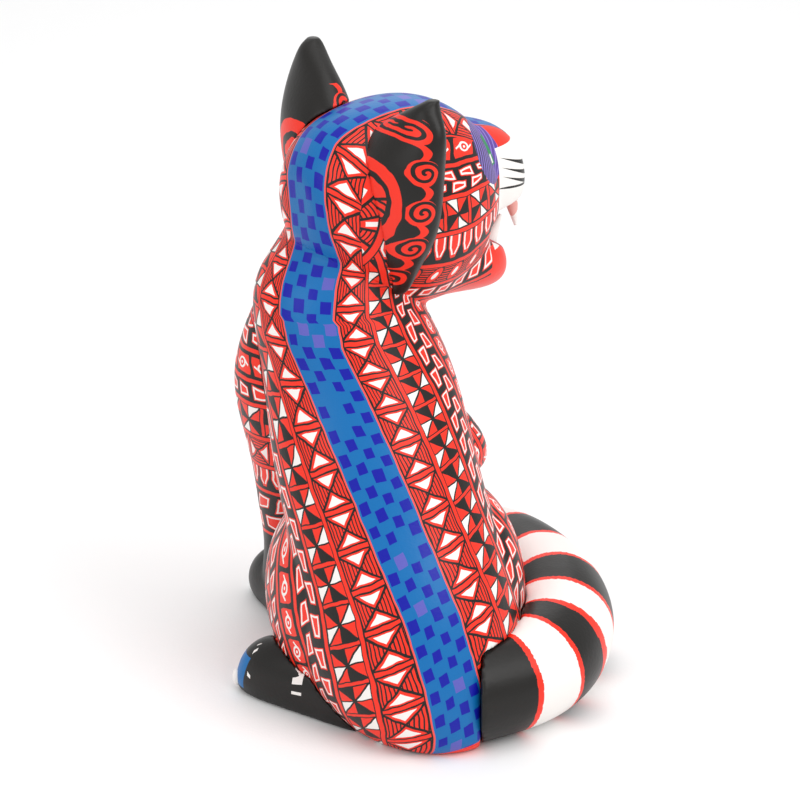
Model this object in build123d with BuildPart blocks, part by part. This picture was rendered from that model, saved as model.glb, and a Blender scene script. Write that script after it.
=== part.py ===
from build123d import *
import os
from math import cos, radians, sin

# A hand-carved, hand-painted wooden big cat, sitting and looking over its right shoulder with its mouth
# open. Millimetres, +Z up. The pelvis faces -Y and the figure's left is +X. The origin is the middle of the
# flat underside of the torso, on the surface that the figure stands on.

# ---- Driving dimensions ----------------------------------------------------------------------------------

# Torso sections from the seat to the top of the neck: height, centre x, centre y, half width, half depth.
UNDERSIDE = (0, -3, 17, 34, 44)
RUMP = (10, -2, 17, 41, 49)
HIPS = (30, 1, 15, 45, 48)
LOIN = (55, 3, 10, 43, 44)
WAIST = (84, 6, -2, 41, 39)
RIBS = (108, 8, -13, 40, 38)
CHEST = (130, 9, -24, 38, 37)
SHOULDERS = (150, 13, -31, 35, 34)
NECK_ROOT = (170, 15, -35, 29, 29)
NECK_TOP = (190, 9, -37, 23, 24)

# Haunches, one on each side of the pelvis: an egg of this size, standing on the surface.
HAUNCH_CENTRE = (27, -6, 42)
HAUNCH_HALF_WIDTH = 25
HAUNCH_HALF_LENGTH = 40
HAUNCH_HALF_HEIGHT = 42

# Head: its centre, how far it is turned to the figure's right, and its sections along the way it faces:
# distance ahead of the centre, half width, height of the section's middle above the centre, half height.
HEAD_CENTRE = (-9, -37, 197)
HEAD_TURN = 75
SKULL = [
    (-43, 9, 4, 11),
    (-37, 22, 3, 24),
    (-25, 32, 1, 34),
    (-8, 38, -2, 41),
    (9, 38, -3, 42),
    (24, 33, -3, 37),
    (35, 25, -3, 29),
    (43, 13, -2, 17),
]
MUZZLE = [(22, 24, 4, 25), (42, 22, 2, 22), (51, 19, 1, 19), (57, 13, 1, 13)]
JAW = [(10, 29, -26, 18), (34, 24, -29, 16), (42.5, 20, -31.5, 13.5), (48, 13, -34, 9)]
MOUTH_CORNER = 29
MOUTH_ROOF_AT_CORNER = -12
MOUTH_ROOF_AT_LIP = -3
MOUTH_FLOOR_AT_CORNER = -16
MOUTH_FLOOR_AT_LIP = -41
MOUTH_REACH = 70

# Ears: sections from the root to the tip: height above the head's centre, distance ahead of it,
# distance from its middle plane, half width and half thickness. The left one (1) sits a little higher.
EAR = [
    (-27, -14, 25, 3, 3),
    (-14, -15, 27, 11, 7),
    (0, -16, 28, 19, 10),
    (14, -16, 27, 23, 12),
    (26, -15, 28, 22, 12),
    (37, -13, 32, 18, 9),
    (46, -11, 37, 10, 6),
    (53, -8, 41, 2.5, 2),
]
EAR_RISE = {1: 3, -1: -4}
EAR_FACING = 8
EAR_LIFT = 40
EAR_PEG_RADIUS = 3
EAR_PEG_LENGTH = 26

# Tail: sections along its line from the root to the tip: x, y, half width and half height. It rests on the
# surface.
TAIL = [
    (-15, 50, 20, 20),
    (-35, 44, 21, 21),
    (-53, 31, 22, 22),
    (-65, 10, 23, 23),
    (-70, -20, 23, 23.5),
    (-67, -52, 22, 22.5),
    (-58, -78, 18, 19),
    (-47, -93, 9, 10),
]
TAIL_PULL_TURN = 160
TAIL_PEG_RADIUS = 6
TAIL_PEG_LENGTH = 34

# Legs: sections from the shoulder to the paw: height, x, y, half width across, half depth.
LEFT_FORELEG = [
    (160, 27, -46, 8, 9),
    (150, 30, -49, 14, 16),
    (136, 32, -52, 16, 19),
    (118, 33, -55, 17, 21),
    (95, 31, -58, 15, 19),
    (70, 28, -64, 12, 15),
    (45, 24, -72, 11, 12),
    (24, 21, -78, 12, 13),
    (12, 20, -80, 11, 12),
]
RIGHT_FORELEG = [
    (114, -20, -18, 8, 8),
    (106, -24, -18, 13, 15),
    (92, -28, -20, 15, 20),
    (80, -27, -34, 14, 19),
    (66, -26, -52, 12, 15),
    (45, -23, -68, 11, 13),
    (24, -21, -77, 12, 13),
    (12, -20, -80, 11, 12),
]
# Flat seat of the left foreleg on the shoulder: how far it is from the middle of the chest, the way it
# faces and its lean, and the height where it starts.
LEG_SEAT_REACH = 33.5
LEG_SEAT_TURN = 40
LEG_SEAT_LEAN = 15
LEG_SEAT_FOOT = 94
FOREPAW_HALF_WIDTH = 14
FOREPAW_LENGTH = 44
FOREPAW_HEIGHT = 25
FOREPAW_HEEL = 16
HIND_FOOT_HALF_WIDTH = 13
HIND_FOOT_LENGTH = 68
HIND_FOOT_HEIGHT = 26
LEFT_HEEL = (20, 32)
LEFT_FOOT_SPLAY = 33
RIGHT_HEEL = (-26, 10)
RIGHT_FOOT_SPLAY = -8

# Teeth and tongue: places are distances ahead of the head's centre and from its middle plane.
UPPER_FANG_LENGTH = 14
LOWER_FANG_LENGTH = 11
FANG_RADIUS = 3.4
FANG_TIP_RADIUS = 0.6
UPPER_FANG_AT = (52.5, 9.5)
LOWER_FANG_AT = (41, 11)
TONGUE_AT = 39
TONGUE_HALF_LENGTH = 9
TONGUE_HALF_WIDTH = 7
TONGUE_THICKNESS = 4

# Larger than the figure, for blocks that only cut.
BEYOND = 400

# Dowels and fits
NECK_DOWEL_RADIUS = 5
NECK_DOWEL_LENGTH = 24
LEG_DOWEL_RADIUS = 3.5
LEG_DOWEL_LENGTH = 22
FOOT_DOWEL_RADIUS = 3
FOOT_DOWEL_LENGTH = 22
FOOT_DOWEL_HEIGHT = 10
LEFT_FOOT_DOWEL_AT = 30
RIGHT_FOOT_DOWEL_AT = 48
RIGHT_DOWEL_SHIFT = 2
PEG_CLEARANCE = 0.05
PULL_CLEARANCE = 0.15
PULL_REACH = 2
END_CLEARANCE = 0.6
SEAT_CLEARANCE = 0.35


# ---- Places worked out from the dimensions ---------------------------------------------------------------


def toward(turn):
    """Unit vector in which something turned this far to the figure's right faces."""
    return Vector(-sin(radians(turn)), -cos(radians(turn)), 0)


def left_of(turn):
    """Unit vector to the left of something turned this far."""
    return Vector(cos(radians(turn)), -sin(radians(turn)), 0)


def level(x, y, z):
    """Horizontal sketch plane centred over a point."""
    return Plane(origin=(x, y, z))


head_centre = Vector(*HEAD_CENTRE)
head_ahead = toward(HEAD_TURN)
head_left = left_of(HEAD_TURN)
UP = Vector(0, 0, 1)


def in_head(ahead, left, up):
    """Point given in the head's own directions, from its centre."""
    return head_centre + head_ahead * ahead + head_left * left + UP * up


def head_section(ahead, up):
    """Upright sketch plane across the head; its X axis is the head's left and its Y axis is up."""
    return Plane(origin=in_head(ahead, 0, up), x_dir=head_left, z_dir=head_left.cross(UP))


def ear_plane(side, section):
    """Level sketch plane of one ear section; side is 1 for the left ear and -1 for the right."""
    up, ahead, out, half_width, half_thickness = section
    turn = HEAD_TURN + side * EAR_FACING
    return Plane(origin=in_head(ahead, side * out, up + EAR_RISE[side]), x_dir=left_of(turn), z_dir=UP)


def ear_pull(side):
    """Direction in which an ear pulls off: out of the side of the head and up."""
    out = head_left * (side * cos(radians(EAR_LIFT)))
    return out + UP * sin(radians(EAR_LIFT))


def ear_root(side):
    """Point in the middle of the ear's widest stretch, where its peg ends."""
    up, ahead, out = EAR[4][:3]
    return in_head(ahead, side * out, up + EAR_RISE[side])


seat_out = left_of(LEG_SEAT_TURN)
leg_seat = Plane(
    origin=Vector(CHEST[1], CHEST[2], CHEST[0]) + seat_out * LEG_SEAT_REACH,
    z_dir=seat_out * cos(radians(LEG_SEAT_LEAN)) - UP * sin(radians(LEG_SEAT_LEAN)),
)
tail_pull = Vector(cos(radians(TAIL_PULL_TURN)), sin(radians(TAIL_PULL_TURN)), 0)
tail_root = Vector(TAIL[0][0], TAIL[0][1], TAIL[0][3] - 1)


def station(section):
    """Centre of a level section, as a point."""
    return Vector(section[1], section[2], section[0])


def splay(turn):
    """Direction of a paw turned outward to the figure's left by this much."""
    return Vector(sin(radians(turn)), -cos(radians(turn)), 0)


def rod(middle, direction, length, radius):
    """Round rod centred on a point."""
    with BuildPart() as piece:
        with BuildSketch(Plane(origin=middle - direction * (length / 2), z_dir=direction)):
            Circle(radius)
        extrude(amount=length)
    return piece.part


# Every dowel and peg: middle, direction, length and radius. Its bores are the same rod, larger by the
# clearances, taken out of both pieces that it joins.
left_seat_spot = station(LEFT_FORELEG[3])
left_seat_spot -= leg_seat.z_dir * leg_seat.to_local_coords(left_seat_spot).Z
DOWELS = {
    "neck_dowel": (station(NECK_TOP), UP, NECK_DOWEL_LENGTH, NECK_DOWEL_RADIUS),
    "tail_peg": (tail_root, tail_pull, TAIL_PEG_LENGTH, TAIL_PEG_RADIUS),
    "left_foreleg_dowel": (left_seat_spot, leg_seat.z_dir, LEG_DOWEL_LENGTH, LEG_DOWEL_RADIUS),
    "right_foreleg_dowel": (
        station(RIGHT_FORELEG[2]) + Vector(RIGHT_DOWEL_SHIFT, 0, 0),
        Vector(-1, 0, 0),
        LEG_DOWEL_LENGTH,
        LEG_DOWEL_RADIUS,
    ),
    "left_foot_dowel": (
        Vector(*LEFT_HEEL, FOOT_DOWEL_HEIGHT) + splay(LEFT_FOOT_SPLAY) * LEFT_FOOT_DOWEL_AT,
        splay(LEFT_FOOT_SPLAY),
        FOOT_DOWEL_LENGTH,
        FOOT_DOWEL_RADIUS,
    ),
    "right_foot_dowel": (
        Vector(*RIGHT_HEEL, FOOT_DOWEL_HEIGHT) + splay(RIGHT_FOOT_SPLAY) * RIGHT_FOOT_DOWEL_AT,
        splay(RIGHT_FOOT_SPLAY),
        FOOT_DOWEL_LENGTH,
        FOOT_DOWEL_RADIUS,
    ),
}
for ear_side, ear_word in ((1, "left"), (-1, "right")):
    DOWELS[f"{ear_word}_ear_peg"] = (
        ear_root(ear_side) - ear_pull(ear_side) * (EAR_PEG_LENGTH / 2),
        ear_pull(ear_side),
        EAR_PEG_LENGTH,
        EAR_PEG_RADIUS,
    )


def bore(name):
    """The hole for a dowel: its rod, longer by the end clearance and wider by its own. A peg that pulls out
    has a wider hole, which also reaches past its outer end, so that nothing stands in its way."""
    middle, direction, length, radius = DOWELS[name]
    pulls = name.endswith("peg")
    around, further = (PULL_CLEARANCE, PULL_REACH) if pulls else (PEG_CLEARANCE, 0)
    middle += direction * (further / 2)
    return rod(middle, direction, length + 2 * END_CLEARANCE + further, radius + around)


# ---- Torso and haunches ----------------------------------------------------------------------------------

TORSO = [UNDERSIDE, RUMP, HIPS, LOIN, WAIST, RIBS, CHEST, SHOULDERS, NECK_ROOT, NECK_TOP]
HAUNCH_LEVELS = (-0.9, -0.6, -0.15, 0.3, 0.65, 0.9, 0.985)

# The notch in the rump that the tail's root sits in: its inner wall and its roof follow the tail.
notch_depth = TAIL[0][2] + SEAT_CLEARANCE
notch_height = 2 * TAIL[0][3] - 1 + SEAT_CLEARANCE

with BuildPart() as shoulder_shaving:
    with BuildSketch(leg_seat):
        Rectangle(BEYOND, BEYOND)
    extrude(amount=BEYOND)
    with BuildSketch(Plane.XY.offset(LEG_SEAT_FOOT)):
        Rectangle(BEYOND, BEYOND)
    extrude(amount=-BEYOND, mode=Mode.SUBTRACT)

with BuildPart() as torso_block:
    for z, x, y, half_width, half_depth in TORSO:
        with BuildSketch(level(x, y, z)):
            Ellipse(half_width, half_depth)
    loft()
    for side in (-1, 1):
        x, y, z = HAUNCH_CENTRE
        for share in HAUNCH_LEVELS:
            girth = (1 - share * share) ** 0.5
            with BuildSketch(level(side * x, y, z + share * HAUNCH_HALF_HEIGHT)):
                Ellipse(HAUNCH_HALF_WIDTH * girth, HAUNCH_HALF_LENGTH * girth)
        loft()
    add(shoulder_shaving.part, mode=Mode.SUBTRACT)
    with BuildSketch(Plane(origin=tail_root, x_dir=UP.cross(tail_pull), z_dir=tail_pull)):
        with Locations((0, notch_height / 2 - tail_root.Z)):
            Rectangle(2 * notch_depth, notch_height)
    extrude(amount=BEYOND / 4, mode=Mode.SUBTRACT)
    with BuildSketch(Plane.XY):
        Rectangle(BEYOND, BEYOND)
    extrude(amount=-BEYOND, mode=Mode.SUBTRACT)

with BuildPart() as torso:
    add(torso_block.part)
    for name in ("neck_dowel", "tail_peg", "left_foreleg_dowel", "right_foreleg_dowel"):
        add(bore(name), mode=Mode.SUBTRACT)
    for name in ("left_foot_dowel", "right_foot_dowel"):
        add(bore(name), mode=Mode.SUBTRACT)
torso.part.label = "torso"

# ---- Head ------------------------------------------------------------------------------------------------


def head_sections(sections, extra=0.0):
    """Sections of part of the head, each grown by extra, ready to be lofted."""
    drawn = []
    for ahead, half_width, up, half_height in sections:
        with BuildSketch(head_section(ahead, up)) as section:
            Ellipse(half_width + extra, half_height + extra)
        drawn.append(section.sketch)
    return drawn


mouth_side = Plane(origin=head_centre, x_dir=head_ahead, z_dir=head_ahead.cross(UP))
floor_run = Vector(MOUTH_REACH - MOUTH_CORNER, MOUTH_FLOOR_AT_LIP - MOUTH_FLOOR_AT_CORNER)
floor_along = (head_ahead * floor_run.X + UP * floor_run.Y).normalized()
floor_up = floor_along.cross(head_left)
roof_run = Vector(MOUTH_REACH - MOUTH_CORNER, MOUTH_ROOF_AT_LIP - MOUTH_ROOF_AT_CORNER)
roof_down = head_left.cross((head_ahead * roof_run.X + UP * roof_run.Y).normalized())


def floor_spot(ahead, left):
    """Point on the sloping floor of the mouth."""
    share = (ahead - MOUTH_CORNER) / floor_run.X
    return in_head(ahead, left, MOUTH_FLOOR_AT_CORNER + share * floor_run.Y)


def roof_spot(ahead, left):
    """Point on the roof of the mouth, which rises towards the lip."""
    share = (ahead - MOUTH_CORNER) / roof_run.X
    return in_head(ahead, left, MOUTH_ROOF_AT_CORNER + share * roof_run.Y)


with BuildPart() as head:
    loft(head_sections(SKULL))
    loft(head_sections(MUZZLE))
    loft(head_sections(JAW))
    with BuildSketch(mouth_side):
        with BuildLine():
            Polyline(
                (MOUTH_CORNER, MOUTH_ROOF_AT_CORNER),
                (MOUTH_REACH, MOUTH_ROOF_AT_LIP),
                (MOUTH_REACH, MOUTH_FLOOR_AT_LIP),
                (MOUTH_CORNER, MOUTH_FLOOR_AT_CORNER),
                close=True,
            )
        make_face()
    extrude(amount=BEYOND / 4, both=True, mode=Mode.SUBTRACT)
    add(torso_block.part, mode=Mode.SUBTRACT)
    for name in ("neck_dowel", "left_ear_peg", "right_ear_peg"):
        add(bore(name), mode=Mode.SUBTRACT)
head.part.label = "head"

# ---- Teeth and tongue ------------------------------------------------------------------------------------


def fang(root, direction, length):
    """Tapered tooth standing on a flat of the mouth."""
    with BuildPart() as tooth:
        with BuildSketch(Plane(origin=root, z_dir=direction)):
            Circle(FANG_RADIUS)
        with BuildSketch(Plane(origin=root + direction * length, z_dir=direction)):
            Circle(FANG_TIP_RADIUS)
        loft()
    return tooth.part


fangs = {}
for word, side in (("left", 1), ("right", -1)):
    ahead, out = UPPER_FANG_AT
    fangs[f"upper_{word}_fang"] = fang(roof_spot(ahead, side * out), roof_down, UPPER_FANG_LENGTH)
    ahead, out = LOWER_FANG_AT
    fangs[f"lower_{word}_fang"] = fang(floor_spot(ahead, side * out), floor_up, LOWER_FANG_LENGTH)

with BuildPart() as tongue:
    with BuildSketch(Plane(origin=floor_spot(TONGUE_AT, 0), x_dir=floor_along, z_dir=floor_up)):
        Ellipse(TONGUE_HALF_LENGTH, TONGUE_HALF_WIDTH)
    extrude(amount=TONGUE_THICKNESS)
    tongue_top = tongue.faces().sort_by(Axis(floor_spot(TONGUE_AT, 0), floor_up))[-1]
    fillet(tongue_top.edges(), TONGUE_THICKNESS * 0.6)

# ---- Ears ------------------------------------------------------------------------------------------------

NECK_SEAT = (CHEST, SHOULDERS, NECK_ROOT, NECK_TOP)

with BuildPart() as ear_seat:
    loft(head_sections(SKULL, SEAT_CLEARANCE))

with BuildPart() as neck_seat:
    for z, x, y, half_width, half_depth in NECK_SEAT:
        with BuildSketch(level(x, y, z)):
            Ellipse(half_width + 2 * SEAT_CLEARANCE, half_depth + 2 * SEAT_CLEARANCE)
    loft()

ears = {}
for word, side in (("left", 1), ("right", -1)):
    with BuildPart() as ear:
        for section in EAR:
            with BuildSketch(ear_plane(side, section)):
                Ellipse(section[3], section[4])
        loft()
        add(ear_seat.part, mode=Mode.SUBTRACT)
        add(neck_seat.part, mode=Mode.SUBTRACT)
        add(bore(f"{word}_ear_peg"), mode=Mode.SUBTRACT)
    ears[f"{word}_ear"] = ear.part

# ---- Tail ------------------------------------------------------------------------------------------------

with BuildPart() as tail:
    for index, (x, y, half_width, half_height) in enumerate(TAIL):
        before = TAIL[max(index - 1, 0)]
        after = TAIL[min(index + 1, len(TAIL) - 1)]
        run = Vector(after[0] - before[0], after[1] - before[1], 0).normalized()
        run = tail_pull if index == 0 else run
        with BuildSketch(Plane(origin=(x, y, half_height - 1), x_dir=UP.cross(run), z_dir=run)):
            Ellipse(half_width, half_height)
    loft()
    with BuildSketch(Plane.XY):
        Rectangle(BEYOND, BEYOND)
    extrude(amount=-BEYOND, mode=Mode.SUBTRACT)
    # The inner side is scooped to lie against the haunch and the notch, and comes away along the pull.
    off_the_seat = (tail_pull + tail_pull.cross(UP)) * SEAT_CLEARANCE
    add(torso_block.part.moved(Location(off_the_seat)), mode=Mode.SUBTRACT)
    add(bore("tail_peg"), mode=Mode.SUBTRACT)

# ---- Legs ------------------------------------------------------------------------------------------------

# Sections of a paw from its heel to its toes: share of the length, of the half width and of the height.
PAW = ((0, 0.6, 0.62), (0.2, 0.88, 0.9), (0.5, 0.96, 1), (0.78, 1, 0.94), (0.94, 0.82, 0.72), (1, 0.45, 0.4))
# Part of a paw's height that the upper half of its oval section takes; the surface cuts the rest off flat.
PAW_CROWN = 0.64


def foreleg_sections(sections):
    """Level sections of a foreleg, ready to be lofted."""
    drawn = []
    for z, x, y, half_width, half_depth in sections:
        with BuildSketch(level(x, y, z)) as section:
            Ellipse(half_width, half_depth)
        drawn.append(section.sketch)
    return drawn


def paw_sections(heel, turn, length, half_width, height):
    """Upright sections of a paw on the surface, from its heel along the way it points to its toes."""
    drawn = []
    for share, width_share, height_share in PAW:
        spot = Vector(*heel, 0) + splay(turn) * (share * length)
        crown = height * height_share * PAW_CROWN
        middle = spot + UP * (height * height_share - crown)
        with BuildSketch(Plane(origin=middle, x_dir=UP.cross(splay(turn)), z_dir=splay(turn))) as section:
            Ellipse(half_width * width_share, crown)
        drawn.append(section.sketch)
    return drawn


legs = {}
for word, sections in (("left", LEFT_FORELEG), ("right", RIGHT_FORELEG)):
    ankle = station(sections[-1])
    heel = (ankle.X, ankle.Y + FOREPAW_HEEL)
    with BuildPart() as leg:
        loft(foreleg_sections(sections))
        loft(paw_sections(heel, 0, FOREPAW_LENGTH, FOREPAW_HALF_WIDTH, FOREPAW_HEIGHT))
        with BuildSketch(Plane.XY):
            Rectangle(BEYOND, BEYOND)
        extrude(amount=-BEYOND, mode=Mode.SUBTRACT)
        if word == "left":
            with BuildSketch(leg_seat):
                Rectangle(BEYOND, BEYOND)
            extrude(amount=-BEYOND, mode=Mode.SUBTRACT)
        else:
            add(torso_block.part, mode=Mode.SUBTRACT)
        add(bore(f"{word}_foreleg_dowel"), mode=Mode.SUBTRACT)
    legs[f"{word}_foreleg"] = leg.part

feet = {}
for word, heel, turn in (("left", LEFT_HEEL, LEFT_FOOT_SPLAY), ("right", RIGHT_HEEL, RIGHT_FOOT_SPLAY)):
    with BuildPart() as foot:
        loft(paw_sections(heel, turn, HIND_FOOT_LENGTH, HIND_FOOT_HALF_WIDTH, HIND_FOOT_HEIGHT))
        with BuildSketch(Plane.XY):
            Rectangle(BEYOND, BEYOND)
        extrude(amount=-BEYOND, mode=Mode.SUBTRACT)
        add(torso_block.part, mode=Mode.SUBTRACT)
        add(bore(f"{word}_foot_dowel"), mode=Mode.SUBTRACT)
    feet[f"{word}_hind_foot"] = foot.part

# ---- Dowels, labels and files ----------------------------------------------------------------------------

dowels = {name: rod(*measures) for name, measures in DOWELS.items()}
pieces = {"torso": torso.part, "head": head.part, "tail": tail.part, "tongue": tongue.part}
pieces |= ears | legs | feet | fangs | dowels

os.makedirs("parts", exist_ok=True)
for name, piece in pieces.items():
    piece.label = name
    export_step(piece, f"parts/{name}.step")
    print(name, round(piece.volume), "mm3,", len(piece.solids()), "solid")
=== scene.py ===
# %% [markdown]
# # A seated big cat, carved in soft wood and painted in bands
# Figures like this are cut from green copal with a machete and knives, pinned together, filled at
# the joints, sanded, and then painted for weeks with very fine brushes. The carved pieces, their
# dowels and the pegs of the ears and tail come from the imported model. This lesson gives them their
# skin: soft carved surfaces, and the whole painted pattern worked out by rule.

import math

import bmesh
import bpy
import numpy as np
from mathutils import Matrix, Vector


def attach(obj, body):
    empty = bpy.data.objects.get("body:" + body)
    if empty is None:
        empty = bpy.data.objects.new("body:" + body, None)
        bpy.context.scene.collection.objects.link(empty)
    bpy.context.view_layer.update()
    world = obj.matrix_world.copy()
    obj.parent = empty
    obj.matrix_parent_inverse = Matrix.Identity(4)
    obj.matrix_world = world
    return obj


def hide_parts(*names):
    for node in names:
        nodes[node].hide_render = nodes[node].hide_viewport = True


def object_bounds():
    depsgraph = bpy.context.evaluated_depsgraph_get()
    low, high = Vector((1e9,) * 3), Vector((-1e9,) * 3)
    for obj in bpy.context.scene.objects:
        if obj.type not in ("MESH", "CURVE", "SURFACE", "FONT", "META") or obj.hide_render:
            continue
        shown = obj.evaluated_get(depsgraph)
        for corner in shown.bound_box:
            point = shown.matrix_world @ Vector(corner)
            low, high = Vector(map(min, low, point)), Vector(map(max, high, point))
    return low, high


MM = 0.001
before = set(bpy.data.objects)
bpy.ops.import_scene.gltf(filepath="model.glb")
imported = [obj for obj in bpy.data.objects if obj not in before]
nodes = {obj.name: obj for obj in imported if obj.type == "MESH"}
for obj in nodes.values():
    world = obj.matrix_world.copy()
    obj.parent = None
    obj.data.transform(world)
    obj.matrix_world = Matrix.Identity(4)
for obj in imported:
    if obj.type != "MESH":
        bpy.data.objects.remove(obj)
cad_low, cad_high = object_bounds()
print("the carved pieces:", sorted(nodes))

# %% [markdown]
# ## Floor, camera and light
# The figure stands on a pale table. The camera is behind it and a little to one side, with a long
# lens, so that the back, the turned head and the curled tail all show. Large soft lamps keep the
# paint's own colours and leave only broad, dim highlights on the satin surface.

# %% Floor and camera
scene = bpy.context.scene
scene.view_settings.view_transform = "Standard"

floor_mesh = bpy.data.meshes.new("floor")
FLOOR_REACH = 6.0
floor_mesh.from_pydata(
    [(-FLOOR_REACH, -FLOOR_REACH, 0), (FLOOR_REACH, -FLOOR_REACH, 0),
     (FLOOR_REACH, FLOOR_REACH, 0), (-FLOOR_REACH, FLOOR_REACH, 0)], [], [(0, 1, 2, 3)])
floor = bpy.data.objects.new("floor", floor_mesh)
floor.location.z = cad_low.z - 0.0002
scene.collection.objects.link(floor)

AZIMUTH, ELEVATION, DISTANCE, AIM_HEIGHT = math.radians(160), math.radians(22), 1.05, 0.125
camera = bpy.data.objects.new("camera", bpy.data.cameras.new("camera"))
scene.collection.objects.link(camera)
outward = Vector((math.sin(AZIMUTH) * math.cos(ELEVATION),
                  -math.cos(AZIMUTH) * math.cos(ELEVATION), math.sin(ELEVATION)))
camera.location = Vector((0, 0, AIM_HEIGHT)) + outward * DISTANCE
camera.rotation_euler = outward.to_track_quat("Z", "Y").to_euler()
camera.data.lens, camera.data.sensor_width, camera.data.clip_start = 121, 36, 0.05
scene.camera = camera
print("camera at", [round(c, 3) for c in camera.location])


# %% Lamps
def softbox(name, turn, rise, away, size, power):
    """A square lamp that looks at the middle of the figure; turn and rise are in degrees."""
    lamp = bpy.data.objects.new(name, bpy.data.lights.new(name, "AREA"))
    scene.collection.objects.link(lamp)
    lamp.data.size, lamp.data.energy = size, power
    turn, rise = math.radians(turn), math.radians(rise)
    side = Vector((math.sin(turn) * math.cos(rise), -math.cos(turn) * math.cos(rise),
                   math.sin(rise)))
    lamp.location = Vector((0, 0, AIM_HEIGHT)) + side * away
    lamp.rotation_euler = side.to_track_quat("Z", "Y").to_euler()


softbox("overhead_lamp", 200, 78, 1.5, 1.2, 8)
softbox("near_left_lamp", 215, 40, 1.6, 0.9, 7.5)
softbox("near_right_lamp", 110, 28, 1.7, 1.0, 4.0)
softbox("far_lamp", 340, 35, 1.8, 1.2, 4.0)
world = bpy.data.worlds.new("studio")
scene.world = world
world.use_nodes = True
world.node_tree.nodes["Background"].inputs["Color"].default_value = (1, 1, 1, 1)
WORLD_LIGHT = 0.74
world.node_tree.nodes["Background"].inputs["Strength"].default_value = WORLD_LIGHT

# %% [markdown]
# ## Arithmetic for paint
# The pattern is made of hundreds of small sums: how far along a band, how far across it, inside a
# triangle or not. A socket wrapped in a small class lets those sums be written as plain Python, and
# each operator adds its Math node. A mask is a number that is 1 inside a shape and 0 outside.


# %% The socket class
class Sum:
    """One number in a material's node tree."""

    def __init__(self, paint, socket):
        self.paint, self.socket = paint, socket

    def _with(self, operation, *others):
        return self.paint.math(operation, self, *others)

    def __add__(self, other):
        return self._with("ADD", other)

    def __sub__(self, other):
        return self._with("SUBTRACT", other)

    def __rsub__(self, other):
        return self.paint.math("SUBTRACT", other, self)

    def __mul__(self, other):
        return self._with("MULTIPLY", other)

    def __truediv__(self, other):
        return self._with("DIVIDE", other)

    def __mod__(self, other):
        return self._with("FLOORED_MODULO", other)

    def __lt__(self, other):
        return self._with("LESS_THAN", other)

    def __gt__(self, other):
        return self._with("GREATER_THAN", other)

    def __and__(self, other):
        return self._with("MULTIPLY", other)

    def __or__(self, other):
        return self._with("MAXIMUM", other)

    def __invert__(self):
        return self.paint.math("SUBTRACT", 1.0, self)

    def __abs__(self):
        return self._with("ABSOLUTE")

    __radd__, __rmul__ = __add__, __mul__

    def floor(self):
        return self._with("FLOOR")

    def least(self, other):
        return self._with("MINIMUM", other)

    def most(self, other):
        return self._with("MAXIMUM", other)

    def root(self):
        return self._with("SQRT")

    def sine(self):
        return self._with("SINE")


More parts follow.
